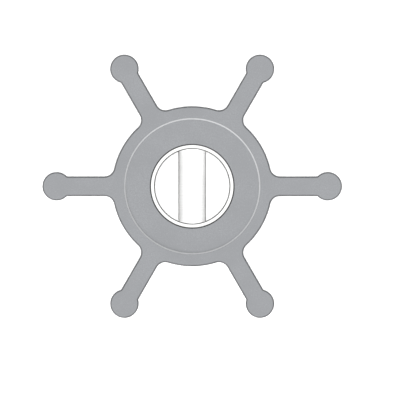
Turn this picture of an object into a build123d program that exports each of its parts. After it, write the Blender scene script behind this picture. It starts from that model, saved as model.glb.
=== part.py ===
from build123d import *
import os

# A flexible pump impeller. Six rubber vanes with round tips stand on a rubber hub, which is
# moulded round a metal bush. A drive pin crosses the bush at half its length, and the
# slotted end of a pump shaft slides in from either end and straddles that pin.
#
# Z is the shaft axis, z = 0 is the lower end face, and one vane points along +X.
# Lengths are in millimetres and angles in degrees.

# Rubber moulding: outline
impeller_diameter = 51.0
impeller_width = 22.0
hub_diameter = 27.2
vane_count = 6
vane_thickness = 3.3
bulb_diameter = 4.85
root_fillet = 1.7
neck_fillet = 0.25
edge_break = 0.2

# Rubber moulding: the shallow recess inside the land on each end face of the hub
land_width = 2.0
recess_depth = 0.4
recess_draft = 30.0
lip_break = 0.15

# Metal bush: a keyed band between two plain spigots, which show at the end faces
bore_diameter = 12.7
spigot_wall = 0.7
spigot_length = 1.9
band_wall = 2.45
band_chamfer = 0.4
bush_drop = 0.2
bore_chamfer = 0.1
flute_count = 24
flute_depth = 0.55

# Drive pin: a press fit across the bush, with rubber moulded over its ends
pin_diameter = 4.7
pin_chamfer = 0.3
pin_cover = 0.3

# Places that follow from the sizes above
hub_radius = hub_diameter / 2
bulb_radius = bulb_diameter / 2
bulb_centre = impeller_diameter / 2 - bulb_radius
recess_radius = hub_radius - land_width
bore_radius = bore_diameter / 2
spigot_radius = bore_radius + spigot_wall
band_radius = bore_radius + band_wall
bush_bottom = recess_depth + bush_drop
bush_top = impeller_width - bush_bottom
band_bottom = bush_bottom + spigot_length
band_top = bush_top - spigot_length
pin_radius = pin_diameter / 2
pin_length = 2 * (band_radius - pin_cover)
pin_plane = Plane(origin=(0, 0, impeller_width / 2), z_dir=(0, 1, 0))

# Metal bush, turned from bar: the half section is revolved about the bore axis
with BuildPart() as hub_insert:
    with BuildSketch(Plane.XZ):
        with BuildLine():
            Polyline(
                (bore_radius, bush_bottom),
                (spigot_radius, bush_bottom),
                (spigot_radius, band_bottom),
                (band_radius - band_chamfer, band_bottom),
                (band_radius, band_bottom + band_chamfer),
                (band_radius, band_top - band_chamfer),
                (band_radius - band_chamfer, band_top),
                (spigot_radius, band_top),
                (spigot_radius, bush_top),
                (bore_radius, bush_top),
                close=True,
            )
        make_face()
    revolve(axis=Axis.Z)

    # Lead-in chamfers for the shaft, at both ends of the bore
    bore_rims = hub_insert.edges().filter_by(GeomType.CIRCLE).group_by(SortBy.RADIUS)[0]
    chamfer(bore_rims, bore_chamfer)

    # Straight knurling: V flutes along the band, which key it into the rubber. They start
    # half a pitch from the Y axis, so that the pin hole breaks out between two of them.
    with BuildSketch(Plane.XY.offset(band_bottom)):
        with PolarLocations(band_radius, flute_count, start_angle=90 + 180 / flute_count):
            RegularPolygon(flute_depth, side_count=4)
    extrude(amount=band_top - band_bottom, mode=Mode.SUBTRACT)

    # Cross hole for the drive pin
    with Locations(Location(pin_plane)):
        Hole(pin_radius)

hub_insert.part.label = "hub_insert"

# Drive pin, cut from ground rod
with BuildPart() as drive_pin:
    with BuildSketch(pin_plane.offset(-pin_length / 2)):
        Circle(pin_radius)
    extrude(amount=pin_length)
    chamfer(drive_pin.edges().filter_by(GeomType.CIRCLE), pin_chamfer)

drive_pin.part.label = "drive_pin"

# Rubber moulding: hub and vanes in one piece, with the bush and its pin cast in
with BuildPart() as impeller_body:
    with BuildSketch() as outline:
        Circle(hub_radius)
        with PolarLocations(0, vane_count):
            Rectangle(bulb_centre, vane_thickness, align=(Align.MIN, Align.CENTER))
        with PolarLocations(bulb_centre, vane_count):
            Circle(bulb_radius)

        # The corners nearest the axis are the vane roots, and the next are the bulb necks
        fillet(outline.vertices().group_by(SortBy.DISTANCE)[1], neck_fillet)
        fillet(outline.vertices().group_by(SortBy.DISTANCE)[0], root_fillet)
    extrude(amount=impeller_width)

    # Both end faces have a broken edge all round the outline
    end_edges = impeller_body.edges().group_by(Axis.Z)
    chamfer(end_edges[0] + end_edges[-1], edge_break)

    # The end faces sink inside the land, with a drafted wall so that the mould lets go
    for end_plane in (Plane.XY.offset(impeller_width), Plane.XY.rotated((180, 0, 0))):
        with BuildSketch(end_plane):
            Circle(recess_radius)
        extrude(amount=-recess_depth, taper=recess_draft, mode=Mode.SUBTRACT)

    # The mould's core leaves the ends of the bush open, with a broken lip round each
    Hole(spigot_radius)
    lips = impeller_body.edges().filter_by(Edge.is_closed).group_by(SortBy.RADIUS)[0]
    chamfer(lips, lip_break)

    # The cavity is the exact negative of the bush and its pin, flutes and pin ends too
    add(hub_insert.part, mode=Mode.SUBTRACT)
    add(drive_pin.part, mode=Mode.SUBTRACT)

impeller_body.part.label = "impeller_body"

os.makedirs("parts", exist_ok=True)
export_step(impeller_body.part, "parts/impeller_body.step")
export_step(hub_insert.part, "parts/hub_insert.step")
export_step(drive_pin.part, "parts/drive_pin.step")
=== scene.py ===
"""A flexible rubber pump impeller, lying on one end face under soft studio light.

The camera looks straight down the shaft axis. The rubber body, its metal bush and its drive
pin come from the frame and get their finishes here. The fine seam that the mould leaves
round the rubber is modelled here. Lengths are in metres.
"""

import logging
import math
from dataclasses import dataclass, field
from enum import Enum

import bmesh
import bpy
from bpy.types import Material, Node, NodeSocket, NodeTree, Object
from mathutils import Euler, Matrix, Vector


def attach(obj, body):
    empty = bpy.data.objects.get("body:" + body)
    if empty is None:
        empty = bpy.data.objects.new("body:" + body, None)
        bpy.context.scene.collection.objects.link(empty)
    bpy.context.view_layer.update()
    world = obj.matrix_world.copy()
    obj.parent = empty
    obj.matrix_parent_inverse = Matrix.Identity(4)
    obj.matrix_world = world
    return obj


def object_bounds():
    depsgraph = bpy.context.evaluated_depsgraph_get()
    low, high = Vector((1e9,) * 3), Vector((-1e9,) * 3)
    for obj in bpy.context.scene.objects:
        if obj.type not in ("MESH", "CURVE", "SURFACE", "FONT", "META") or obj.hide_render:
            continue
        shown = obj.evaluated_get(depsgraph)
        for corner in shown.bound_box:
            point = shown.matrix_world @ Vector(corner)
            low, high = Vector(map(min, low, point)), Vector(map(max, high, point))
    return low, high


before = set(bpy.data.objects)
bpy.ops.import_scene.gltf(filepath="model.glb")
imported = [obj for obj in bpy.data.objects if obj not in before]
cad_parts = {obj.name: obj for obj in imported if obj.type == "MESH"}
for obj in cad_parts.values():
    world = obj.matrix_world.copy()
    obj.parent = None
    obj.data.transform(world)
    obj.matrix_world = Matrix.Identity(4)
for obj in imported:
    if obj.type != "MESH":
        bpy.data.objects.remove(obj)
CAD_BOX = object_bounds()

MM = 0.001

# The two halves of the rubber's mould meet at half its height
PARTING_HEIGHT = CAD_BOX[1].z / 2

Colour = tuple[float, float, float]
Feed = NodeSocket | float | str | Colour | Vector
Edges = list[bmesh.types.BMEdge]

log = logging.getLogger("impeller")


@dataclass(frozen=True)
class Noise:
    """A noise pattern, and the values of it that count as none of the pattern and as all of it."""

    size: float
    none: float = 0.25
    full: float = 0.75
    detail: float = 3.0
    roughness: float = 0.6


class Graph:
    """A node tree, with short calls for the nodes that the finishes share."""

    def __init__(self, tree: NodeTree) -> None:
        """Empties the node tree of a material, a world or a modifier, and starts from it."""
        self.tree = tree
        tree.nodes.clear()

    def add(self, kind: str, feeds: dict[str | int, Feed], **settings: object) -> Node:
        """Adds one node.

        Args:
            kind: The node's type, such as ShaderNodeMath.
            feeds: What goes into its sockets, by name or number.
            settings: The node's own properties.

        Returns:
            The new node.
        """
        node = self.tree.nodes.new(kind)
        for key, value in settings.items():
            setattr(node, key, value)
        for key, value in feeds.items():
            self._feed(node.inputs[key], value)
        return node

    def _feed(self, socket: NodeSocket, value: Feed) -> None:
        """Links a socket to this one, or sets its value.

        Args:
            socket: The socket that takes the value.
            value: A socket, a number, a name, a colour or a vector.
        """
        if isinstance(value, NodeSocket):
            self.tree.links.new(value, socket)
        elif isinstance(value, tuple):
            socket.default_value = (*value, 1.0)
        else:
            socket.default_value = value

    def math(self, operation: str, first: Feed, second: Feed = 0.0) -> NodeSocket:
        """Works out one sum, by the Math node's operation."""
        return self.add("ShaderNodeMath", {0: first, 1: second}, operation=operation).outputs[0]

    def step(self, value: Feed, start: float, end: float) -> NodeSocket:
        """Goes smoothly from 0 to 1 as the value goes from start to end, up or down."""
        first, last = (0.0, 1.0) if start < end else (1.0, 0.0)
        return self.spread(value, first, last, min(start, end), max(start, end), "SMOOTHSTEP")

    def spread(
        self,
        value: Feed,
        first: float,
        last: float,
        low: float = 0.25,
        high: float = 0.75,
        way: str = "LINEAR",
    ) -> NodeSocket:
        """Goes from first to last as the value goes from low to high, and stays there beyond."""
        feeds = {"Value": value, "From Min": low, "From Max": high, "To Min": first, "To Max": last}
        return self.add("ShaderNodeMapRange", feeds, interpolation_type=way).outputs["Result"]

    def mix(self, share: Feed, first: Feed, second: Feed) -> NodeSocket:
        """Mixes two colours, with the share of the second one from 0 to 1."""
        feeds = {0: share, 6: first, 7: second}
        return self.add("ShaderNodeMix", feeds, data_type="RGBA").outputs[2]

    def clouds(self, noise: Noise, place: Feed) -> NodeSocket:
        """Makes noise that is alike in all directions, with values round 0.5."""
        return self._noise(noise, "3D", {"Vector": place})

    def drag_lines(
        self,
        noise: Noise,
        place: Feed,
        half: Feed,
        stretch: float = 0.04,
    ) -> NodeSocket:
        """Makes noise that is drawn out into lines along the shaft.

        Args:
            noise: The pattern, with the width of one line as its size.
            place: The coordinates that it is read at.
            half: Which half of the mould leaves the lines, 0 or 1.
            stretch: How much slower it changes along the shaft than across it.

        Returns:
            The socket of a value round 0.5.
        """
        squeezed = {0: place, 1: Vector((1.0, 1.0, stretch))}
        drawn = self.add("ShaderNodeVectorMath", squeezed, operation="MULTIPLY").outputs[0]
        return self._noise(noise, "4D", {"Vector": drawn, "W": half})

    def tool_marks(self, noise: Noise, along: Feed) -> NodeSocket:
        """Makes noise that changes along one length only, with values round 0.5."""
        return self._noise(noise, "1D", {"W": along})

    def _noise(self, noise: Noise, dimensions: str, feeds: dict[str, Feed]) -> NodeSocket:
        """Adds a noise node of 1D, 3D or 4D, read at the place that feeds gives."""
        look = {"Scale": 1.0 / noise.size, "Detail": noise.detail, "Roughness": noise.roughness}
        node = self.add("ShaderNodeTexNoise", feeds | look, noise_dimensions=dimensions)
        return node.outputs["Fac"]

    def mask(self, value: Feed, noise: Noise) -> NodeSocket:
        """Turns the value of a noise pattern into the pattern's share, from 0 to 1."""
        return self.step(value, noise.none, noise.full)

    def bump(self, height: Feed, depth: float) -> NodeSocket:
        """Turns a height into a surface normal, where a height of 1 is as deep as depth."""
        return self.add("ShaderNodeBump", {"Height": height, "Distance": depth}).outputs["Normal"]

    def shader(self, colour: Feed, roughness: Feed, normal: Feed, **values: float) -> None:
        """Ends a material with its surface shader.

        Args:
            colour: The base colour.
            roughness: The roughness.
            normal: The bumped normal.
            values: The shader's other sockets, by name, with an underscore for each space.
        """
        feeds = {"Base Color": colour, "Roughness": roughness, "Normal": normal}
        feeds.update({name.replace("_", " "): value for name, value in values.items()})
        surface = self.add("ShaderNodeBsdfPrincipled", feeds).outputs["BSDF"]
        self.add("ShaderNodeOutputMaterial", {"Surface": surface})


@dataclass
class Surface:
    """The places and slopes that a finish reads on a piece.

    A face's slope is 0 on a wall along the shaft and 1 on an end face.
    """

    graph: Graph
    wall_slope: float = 0.1
    edge_slopes: tuple[float, float] = (0.3, 0.9)
    end_slope: float = 0.98
    place: NodeSocket = field(init=False)
    along_pin: NodeSocket = field(init=False)
    along_shaft: NodeSocket = field(init=False)
    radius: NodeSocket = field(init=False)
    slope: NodeSocket = field(init=False)

    def __post_init__(self) -> None:
        """Adds the nodes that every finish starts from."""
        graph = self.graph
        self.place = graph.add("ShaderNodeTexCoord", {}).outputs["Object"]
        split_place = graph.add("ShaderNodeSeparateXYZ", {0: self.place})
        across_pin, self.along_pin, self.along_shaft = split_place.outputs
        squares = (graph.math("POWER", across_pin, 2.0), graph.math("POWER", self.along_pin, 2.0))
        self.radius = graph.math("SQRT", graph.math("ADD", *squares))
        normal = graph.add("ShaderNodeNewGeometry", {}).outputs["Normal"]
        upward = graph.add("ShaderNodeSeparateXYZ", {0: normal}).outputs["Z"]
        self.slope = graph.math("ABSOLUTE", upward)

    def off_the_walls(self) -> NodeSocket:
        """Finds the end faces and their broken edges, but not the walls along the shaft."""
        return self.graph.step(self.slope, self.wall_slope, self.edge_slopes[0])

    def walls(self) -> NodeSocket:
        """Finds the walls along the shaft."""
        return self.graph.step(self.slope, self.edge_slopes[0], self.wall_slope)

    def broken_edges(self) -> NodeSocket:
        """Finds the broken edges of the end faces, by their slope."""
        off_the_ends = self.graph.step(self.slope, self.end_slope, self.edge_slopes[1])
        return self.graph.math("MULTIPLY", self.off_the_walls(), off_the_ends)

    def ring(self, inner: float, outer: float, soft: float = 0.03 * MM) -> NodeSocket:
        """Finds what lies between two radii round the shaft's axis.

        Args:
            inner: The smaller radius.
            outer: The larger radius.
            soft: How far the mask fades out beyond both.

        Returns:
            The mask's socket.
        """
        past_inner = self.graph.step(self.radius, inner - soft, inner)
        short_of_outer = self.graph.step(self.radius, outer + soft, outer)
        return self.graph.math("MULTIPLY", past_inner, short_of_outer)


def new_material(name: str) -> tuple[Material, Graph]:
    """Starts a material.

    Args:
        name: The material's name.

    Returns:
        The material, and the graph of its nodes.
    """
    material = bpy.data.materials.new(name)
    material.use_nodes = True
    return material, Graph(material.node_tree)


def shade(colour: Colour, factor: float) -> Colour:
    """Makes a colour darker by a factor below 1, or lighter by one above it."""
    red, green, blue = colour
    return (factor * red, factor * green, factor * blue)


@dataclass(frozen=True)
class MouldedRubber:
    """Grey rubber as it leaves the mould: satin, finely stippled, faintly clouded and dusted.

    Each half of the mould drags faint lines along the walls as it opens, and the stipple's pits
    carry painted shade. The broken edges carry painted shade, and the lip round the bush a darker
    painted shade still. The step of each end's recess carries a painted highlight, in the pale
    colour that the dust has too.

    A ring is an inner and an outer radius, and a shade is a multiple of the colour. The drag
    lines' height is a multiple of the stipple's depth.
    """

    colour: Colour
    # Pale colour of the dust and of the painted highlight on the recess step, which lies in the
    # highlight ring
    dust_and_highlight_colour: Colour
    highlight_ring: tuple[float, float]
    lip_ring: tuple[float, float]
    clouds: Noise = Noise(6.0 * MM, none=0.3, full=0.7, detail=5.0)
    stipple: Noise = Noise(0.22 * MM, none=0.62, full=0.38, roughness=0.65)
    dust: Noise = Noise(0.2 * MM, none=0.6, full=0.7, roughness=0.7)
    drag: Noise = Noise(0.5 * MM, none=0.5, full=0.8)
    # Varies the painted edge shade and the painted highlight along them
    painted_light_variation: Noise = Noise(0.7 * MM, none=0.35, full=0.65)
    cloud_shades: tuple[float, float] = (0.94, 1.06)
    # Painted shade in the stipple's pits
    pit_painted_shade: float = 0.92
    drag_shade: float = 1.12
    # Painted shade on the broken edges, from darker to paler
    painted_edge_shades: tuple[float, float] = (0.357, 0.483)
    # Painted shade on the lip round the bush, where rubber meets metal
    lip_painted_shade: float = 0.15
    dust_share: float = 0.3
    # How much of the painted highlight shows, varied along the step
    highlight_shares: tuple[float, float] = (0.8, 1.0)
    roughness: tuple[float, float] = (0.47, 0.63)
    gloss: float = 0.35
    stipple_depth: float = 0.02 * MM
    drag_height: float = 0.5

    def build(self) -> Material:
        """Makes the material.

        Returns:
            The finished material.
        """
        material, graph = new_material("moulded_rubber")
        surface = Surface(graph)
        clouds = graph.clouds(self.clouds, surface.place)
        stipple = graph.clouds(self.stipple, surface.place)
        dust = graph.clouds(self.dust, surface.place)
        upper_half = graph.math("GREATER_THAN", surface.along_shaft, PARTING_HEIGHT)
        lines = graph.drag_lines(self.drag, surface.place, upper_half)
        drag = graph.math("MULTIPLY", lines, surface.walls())
        painted_light_variation = graph.clouds(self.painted_light_variation, surface.place)

        darker, paler = (shade(self.colour, factor) for factor in self.cloud_shades)
        colour = graph.mix(graph.mask(clouds, self.clouds), darker, paler)
        # Painted shade in the stipple's pits, where the bumps are lowest
        stippled = shade(self.colour, self.pit_painted_shade)
        colour = graph.mix(graph.mask(stipple, self.stipple), colour, stippled)
        dragged = shade(self.colour, self.drag_shade)
        colour = graph.mix(graph.mask(drag, self.drag), colour, dragged)
        dusted = graph.math("MULTIPLY", graph.mask(dust, self.dust), self.dust_share)
        colour = graph.mix(dusted, colour, self.dust_and_highlight_colour)
        # Painted shade on the broken edges, varied along them
        darker, paler = (shade(self.colour, factor) for factor in self.painted_edge_shades)
        painted_edge_shade = graph.mix(graph.mask(painted_light_variation, self.painted_light_variation), darker, paler)
        colour = graph.mix(surface.broken_edges(), colour, painted_edge_shade)
        # Darker painted shade on the lip round the bush
        colour = graph.mix(surface.ring(*self.lip_ring), colour, shade(self.colour, self.lip_painted_shade))
        # Painted highlight on the step of each end's recess
        highlight_share = graph.spread(painted_light_variation, *self.highlight_shares)
        painted_highlight = graph.math("MULTIPLY", surface.ring(*self.highlight_ring), highlight_share)
        colour = graph.mix(painted_highlight, colour, self.dust_and_highlight_colour)

        roughness = graph.spread(stipple, *self.roughness)
        height = graph.math("ADD", stipple, graph.math("MULTIPLY", drag, self.drag_height))
        bumps = graph.bump(height, self.stipple_depth)
        graph.shader(colour, roughness, bumps, Specular_IOR_Level=self.gloss)
        return material


class ToolMarks(Enum):
    """Which way a tool left its marks on the metal."""

    ROUND_THE_BORE = "turned round the bore"
    ROUND_THE_PIN = "ground round the pin"


@dataclass(frozen=True)
class BrightMetal:
    """Satin bright metal with fine tool marks, a few stains, and rings of painted shade on its end
    faces.

    A pin carries painted shade along its flanks too, where its surface faces sideways. A ring is an
    inner and an outer radius, and a shade is a multiple of the colour.
    """

    name: str
    colour: Colour
    tool: ToolMarks
    marks: Noise
    shine: float
    # Rings of painted shade on the end faces and their edges
    painted_shade_rings: tuple[tuple[float, float], ...] = ()
    stains: Noise = Noise(3.0 * MM, none=0.5, full=0.8, roughness=0.5)
    mark_shade: float = 0.86
    stain_shade: float = 0.88
    # Painted shade on those rings
    ring_shade: float = 0.1
    # Painted shade on a pin's flanks, which face sideways between these slopes
    flank_painted_shade: float = 0.2
    flank_slopes: tuple[float, float] = (0.35, 0.2)
    roughness: tuple[float, float] = (0.34, 0.46)
    mark_depth: float = 0.004 * MM

    def build(self) -> Material:
        """Makes the material.

        Returns:
            The finished material.
        """
        material, graph = new_material(self.name)
        surface = Surface(graph)
        if self.tool is ToolMarks.ROUND_THE_BORE:
            along = graph.math("ADD", surface.radius, surface.along_shaft)
        else:
            along = surface.along_pin
        marks = graph.tool_marks(self.marks, along)
        stains = graph.clouds(self.stains, surface.place)

        marked = shade(self.colour, self.mark_shade)
        colour = graph.mix(graph.mask(marks, self.marks), self.colour, marked)
        stained = shade(self.colour, self.stain_shade)
        colour = graph.mix(graph.mask(stains, self.stains), colour, stained)
        # Painted shade on each ring, off the walls
        for inner, outer in self.painted_shade_rings:
            painted_shade_ring = graph.math("MULTIPLY", surface.ring(inner, outer), surface.off_the_walls())
            colour = graph.mix(painted_shade_ring, colour, shade(self.colour, self.ring_shade))
        # Painted shade on the pin's flanks, where its surface faces sideways
        if self.tool is ToolMarks.ROUND_THE_PIN:
            flanks = graph.step(surface.slope, *self.flank_slopes)
            colour = graph.mix(flanks, colour, shade(self.colour, self.flank_painted_shade))
        roughness = graph.spread(stains, *self.roughness)
        graph.shader(colour, roughness, graph.bump(marks, self.mark_depth), Metallic=self.shine)
        return material


@dataclass
class FramePiece:
    """A piece that comes from the frame, and takes a finish.

    Its sharp edges are rounded down to open_depth below the end faces. Deeper down they stay
    crisp, because the rubber and the metals meet face to face there.
    """

    node: str
    material: Material
    open_depth: float = 1.0 * MM
    edge_radius: float = 0.05 * MM
    edge_segments: int = 2
    sharp_angle: float = math.radians(25)
    flat_angle: float = math.radians(0.5)
    weld_gap: float = 0.01 * MM
    flat_weight: int = 100

    def build(self) -> Object:
        """Gives the piece its finish, and rounds its open edges.

        Returns:
            The piece.
        """
        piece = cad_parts[self.node]
        piece.material_slots[0].material = self.material
        weld = piece.modifiers.new("join_faces", "WELD")
        weld.merge_threshold = self.weld_gap
        flat = piece.modifiers.new("merge_flat_faces", "DECIMATE")
        flat.decimate_type = "DISSOLVE"
        flat.angle_limit = self.flat_angle
        mark = piece.modifiers.new("mark_edges", "NODES")
        mark.node_group = self._marked_edges()
        bevel = piece.modifiers.new("round_edges", "BEVEL")
        bevel.limit_method = "WEIGHT"
        bevel.width = self.edge_radius
        bevel.segments = self.edge_segments
        normals = piece.modifiers.new("keep_flats_flat", "WEIGHTED_NORMAL")
        normals.mode = "FACE_AREA"
        normals.weight = self.flat_weight
        normals.keep_sharp = True
        log.info("finished %s", self.node)
        return piece

    def _marked_edges(self) -> NodeTree:
        """Makes the nodes that mark the open edges for rounding and the covered ones as crisp.

        Returns:
            The node group.
        """
        tree = bpy.data.node_groups.new(f"{self.node}_edges", "GeometryNodeTree")
        for way in ("INPUT", "OUTPUT"):
            tree.interface.new_socket("Geometry", in_out=way, socket_type="NodeSocketGeometry")
        graph = Graph(tree)
        angle = graph.add("GeometryNodeInputMeshEdgeAngle", {}).outputs["Unsigned Angle"]
        place = graph.add("GeometryNodeInputPosition", {}).outputs["Position"]
        height = graph.add("ShaderNodeSeparateXYZ", {0: place}).outputs["Z"]
        off_middle = graph.math("ABSOLUTE", graph.math("SUBTRACT", height, PARTING_HEIGHT))
        is_sharp = graph.math("GREATER_THAN", angle, self.sharp_angle)
        is_open = graph.math("GREATER_THAN", off_middle, PARTING_HEIGHT - self.open_depth)
        rounded = graph.math("MULTIPLY", is_sharp, is_open)
        crisp = graph.math("SUBTRACT", is_sharp, rounded)

        # The Bevel modifier reads its weights from the attribute of this name
        bare = graph.add("NodeGroupInput", {}).outputs["Geometry"]
        feeds = {"Geometry": bare, "Name": "bevel_weight_edge", "Value": rounded}
        kind = "GeometryNodeStoreNamedAttribute"
        store = graph.add(kind, feeds, data_type="FLOAT", domain="EDGE")
        weighted = store.outputs["Geometry"]
        feeds = {"Geometry": weighted, "Selection": crisp, "Shade Smooth": False}
        crease = graph.add("GeometryNodeSetShadeSmooth", feeds, domain="EDGE")
        graph.add("NodeGroupOutput", {"Geometry": crease.outputs["Geometry"]})
        return tree


@dataclass
class MouldSeam:
    """The fine bead that the two halves of the mould leave on the rubber, at half its height.

    It follows the flanks of the vanes and the hub between them. On the round tips it is
    buffed off, because they seal against the pump's housing.
    """

    material: Material
    vane_count: int = 6
    height: float = PARTING_HEIGHT
    hub_radius: float = 13.6 * MM
    vane_half: float = 1.65 * MM
    root_radius: float = 1.7 * MM
    tip_centre: float = 23.075 * MM
    bead_radius: float = 0.06 * MM
    sunk: float = 0.035 * MM
    sides: int = 8
    root_steps: int = 8
    hub_steps: int = 14

    def build(self) -> Object:
        """Models the seam and lays it on the rubber.

        Returns:
            The seam.
        """
        shape = bmesh.new()
        self._one_gap(shape)
        gap = list(shape.verts) + list(shape.edges) + list(shape.faces)
        for index in range(1, self.vane_count):
            copy = bmesh.ops.duplicate(shape, geom=gap)["geom"]
            turned = [item for item in copy if isinstance(item, bmesh.types.BMVert)]
            turn = Matrix.Rotation(math.tau * index / self.vane_count, 3, "Z")
            bmesh.ops.rotate(shape, verts=turned, cent=(0.0, 0.0, 0.0), matrix=turn)
        bmesh.ops.recalc_face_normals(shape, faces=shape.faces)
        shape.verts.index_update()
        shape.faces.sort(key=self._rank)
        for face in shape.faces:
            face.smooth = True

        mesh = bpy.data.meshes.new("mould_seam")
        shape.to_mesh(mesh)
        shape.free()
        mesh.materials.append(self.material)
        seam = bpy.data.objects.new("mould_seam", mesh)
        bpy.context.scene.collection.objects.link(seam)
        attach(seam, "root")
        log.info("modelled mould_seam")
        return seam

    def _rank(self, face: bmesh.types.BMFace) -> float:
        """Ranks a face by its first corner, then its last: spin leaves faces in no fixed order."""
        corners = sorted(vert.index for vert in face.verts)
        return corners[0] + corners[-1] / (corners[-1] + 1)

    def _one_gap(self, shape: bmesh.types.BMesh) -> None:
        """Draws the bead round one gap: in along a flank, round the hub and out along the next.

        Args:
            shape: The mesh that the bead is drawn in.
        """
        root_distance = self.hub_radius + self.root_radius
        root_offset = self.vane_half + self.root_radius
        root_along = math.sqrt(root_distance**2 - root_offset**2)
        root_angle = math.asin(root_offset / root_distance)
        gap_angle = math.tau / self.vane_count
        root_turn = root_angle - math.radians(90)
        hub_turn = gap_angle - 2 * root_angle
        flank = self.tip_centre - root_along
        near_root = Vector((root_along, root_offset, 0.0))
        far_root = Matrix.Rotation(gap_angle, 3, "Z") @ Vector((root_along, -root_offset, 0.0))
        outward = Vector((math.cos(gap_angle), math.sin(gap_angle), 0.0))

        start = Vector((self.tip_centre, self.vane_half - self.sunk, self.height))
        bmesh.ops.create_circle(
            shape,
            segments=self.sides,
            radius=self.bead_radius,
            cap_ends=True,
            matrix=Matrix.Translation(start) @ Matrix.Rotation(math.radians(90), 4, "Y"),
        )
        end = list(shape.edges)
        end = self._straight(shape, end, Vector((-flank, 0.0, 0.0)))
        end = self._arc(shape, end, near_root, root_turn, self.root_steps)
        end = self._arc(shape, end, Vector(), hub_turn, self.hub_steps)
        end = self._arc(shape, end, far_root, root_turn, self.root_steps)
        end = self._straight(shape, end, flank * outward)
        bmesh.ops.contextual_create(shape, geom=end)

    def _straight(self, shape: bmesh.types.BMesh, end: Edges, way: Vector) -> Edges:
        """Draws the bead on in a straight line.

        Args:
            shape: The mesh that the bead is drawn in.
            end: The edges at the bead's open end.
            way: How far the end moves.

        Returns:
            The edges at the new end.
        """
        new = bmesh.ops.extrude_edge_only(shape, edges=end)["geom"]
        moved = {item for item in new if isinstance(item, bmesh.types.BMVert)}
        bmesh.ops.translate(shape, verts=list(moved), vec=way)
        edges = [item for item in new if isinstance(item, bmesh.types.BMEdge)]
        return [edge for edge in edges if moved.issuperset(edge.verts)]

    def _arc(
        self,
        shape: bmesh.types.BMesh,
        end: Edges,
        centre: Vector,
        angle: float,
        steps: int,
    ) -> Edges:
        """Draws the bead on round an arc.

        Args:
            shape: The mesh that the bead is drawn in.
            end: The edges at the bead's open end.
            centre: The arc's centre.
            angle: How far it turns, anticlockwise.
            steps: How many facets it has.

        Returns:
            The edges at the new end.
        """
        shaft = (0.0, 0.0, 1.0)
        spun = bmesh.ops.spin(shape, geom=end, cent=centre, axis=shaft, angle=angle, steps=steps)
        return [item for item in spun["geom_last"] if isinstance(item, bmesh.types.BMEdge)]


@dataclass(frozen=True)
class Lamp:
    """A distant lamp: where it hangs in the sky, how wide it looks and how strong it is.

    A lamp without glare has a cover that keeps its mirror image off the metal.
    """

    name: str
    azimuth: float
    elevation: float
    width: float
    strength: float
    glare: bool
    distance: float = 1.0

    def hang(self) -> Object:
        """Hangs the lamp, turned towards the part.

        Returns:
            The lamp.
        """
        light = bpy.data.lights.new(self.name, "SUN")
        light.angle = math.radians(self.width)
        light.energy = self.strength
        lamp = bpy.data.objects.new(self.name, light)
        turn = Euler((0.0, math.radians(90 - self.elevation), math.radians(self.azimuth)))
        lamp.rotation_euler = turn
        lamp.location = turn.to_matrix() @ Vector((0.0, 0.0, self.distance))
        lamp.visible_glossy = self.glare
        bpy.context.scene.collection.objects.link(lamp)
        return lamp


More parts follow.
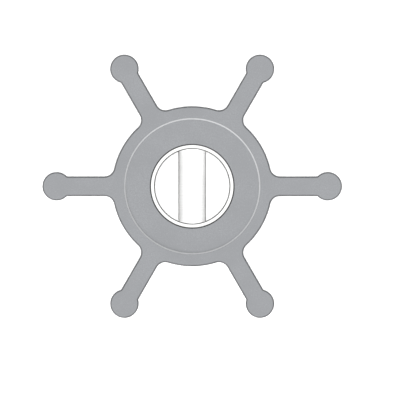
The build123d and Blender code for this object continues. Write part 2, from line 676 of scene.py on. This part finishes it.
@dataclass
class Studio:
    """The pale floor, the lamps, the sky and the camera that looks straight down."""

    photo_width_px: int = 400
    tip_px: float = 149.86
    axis_px: tuple[float, float] = (192.2, 186.28)
    camera_height: float = 0.5
    floor_width: float = 3.0
    floor_drop: float = 0.01 * MM
    floor_colour: Colour = (0.93, 0.93, 0.93)
    floor_roughness: float = 0.8
    flecks: Noise = Noise(0.4 * MM, roughness=0.5)
    fleck_shade: float = 0.98
    fleck_depth: float = 0.01 * MM
    lamps: tuple[Lamp, ...] = (
        Lamp("overhead_lamp", azimuth=0.0, elevation=90.0, width=0.8, strength=3.4, glare=False),
        Lamp("side_lamp", azimuth=250.0, elevation=35.0, width=30.0, strength=1.8, glare=True),
    )
    zenith: Colour = (0.9, 0.9, 0.9)
    horizon: Colour = (0.78, 0.78, 0.79)
    sky_rise: tuple[float, float] = (0.25, 0.8)

    def build(self) -> None:
        """Makes the floor, the lamps, the sky and the camera."""
        self._floor()
        for lamp in self.lamps:
            lamp.hang()
        self._sky()
        self._camera()
        log.info("set up the studio")

    def _floor(self) -> None:
        """Lays the pale floor under the part, a hair lower, so that they share no plane."""
        material, graph = new_material("pale_floor")
        flecks = graph.clouds(self.flecks, graph.add("ShaderNodeTexCoord", {}).outputs["Object"])
        colour = graph.mix(flecks, self.floor_colour, shade(self.floor_colour, self.fleck_shade))
        graph.shader(colour, self.floor_roughness, graph.bump(flecks, self.fleck_depth))

        mesh = bpy.data.meshes.new("floor")
        shape = bmesh.new()
        half = self.floor_width / 2
        lowered = Matrix.Translation((0.0, 0.0, -self.floor_drop))
        bmesh.ops.create_grid(shape, x_segments=1, y_segments=1, size=half, matrix=lowered)
        shape.to_mesh(mesh)
        shape.free()
        mesh.materials.append(material)
        floor = bpy.data.objects.new("floor", mesh)
        bpy.context.scene.collection.objects.link(floor)

    def _sky(self) -> None:
        """Lights everything softly from all sides, more from above."""
        world = bpy.data.worlds.new("soft_sky")
        world.use_nodes = True
        bpy.context.scene.world = world
        graph = Graph(world.node_tree)
        direction = graph.add("ShaderNodeTexCoord", {}).outputs["Object"]
        upward = graph.add("ShaderNodeSeparateXYZ", {0: direction}).outputs["Z"]
        colour = graph.mix(graph.step(upward, *self.sky_rise), self.horizon, self.zenith)
        glow = graph.add("ShaderNodeBackground", {"Color": colour}).outputs["Background"]
        graph.add("ShaderNodeOutputWorld", {"Surface": glow})

    def _camera(self) -> None:
        """Sets the camera over the part, so that it frames the part as the photograph does."""
        metre_per_px = CAD_BOX[1].x / self.tip_px
        camera = bpy.data.cameras.new("camera")
        camera.type = "ORTHO"
        camera.ortho_scale = self.photo_width_px * metre_per_px
        centre_px = self.photo_width_px / 2
        stand = bpy.data.objects.new("camera", camera)
        stand.location = (
            (centre_px - self.axis_px[0]) * metre_per_px,
            (self.axis_px[1] - centre_px) * metre_per_px,
            self.camera_height,
        )
        scene = bpy.context.scene
        scene.collection.objects.link(stand)
        scene.camera = stand
        scene.view_settings.view_transform = "Standard"


@dataclass
class Impeller:
    """The whole part: its pieces from the frame, and the seam on its rubber."""

    rubber: MouldedRubber
    bush: BrightMetal
    pin: BrightMetal

    def build(self) -> list[Object]:
        """Builds each piece.

        Returns:
            The pieces.
        """
        rubber = self.rubber.build()
        return [
            FramePiece("impeller_body", rubber).build(),
            FramePiece("hub_insert", self.bush.build()).build(),
            # The pin is rounded all over, as a rod is before it is pressed in
            FramePiece("drive_pin", self.pin.build(), open_depth=PARTING_HEIGHT).build(),
            MouldSeam(rubber).build(),
        ]


def main() -> None:
    """Builds the impeller and sets up the studio."""
    logging.basicConfig(level=logging.INFO, format="%(name)s: %(message)s")
    impeller = Impeller(
        rubber=MouldedRubber(
            colour=(0.168, 0.173, 0.18),
            # The pale colour serves the dust and the painted highlight on the recess step
            dust_and_highlight_colour=(0.375, 0.38, 0.385),
            highlight_ring=(11.38 * MM, 11.58 * MM),
            # The lip's ring of painted shade
            lip_ring=(7.0 * MM, 7.2 * MM),
        ),
        bush=BrightMetal(
            name="turned_metal",
            colour=(0.82, 0.82, 0.81),
            tool=ToolMarks.ROUND_THE_BORE,
            marks=Noise(0.12 * MM, none=0.65, full=0.3),
            shine=0.5,
            # Painted shade on the bore's chamfer and at the outer edge of the end face
            painted_shade_rings=((6.3 * MM, 6.5 * MM), (7.02 * MM, 7.1 * MM)),
        ),
        pin=BrightMetal(
            name="ground_steel",
            colour=(0.95, 0.95, 0.95),
            tool=ToolMarks.ROUND_THE_PIN,
            marks=Noise(0.1 * MM, none=0.65, full=0.3),
            shine=0.2,
        ),
    )
    impeller.build()
    Studio().build()


if __name__ == "__main__":
    main()
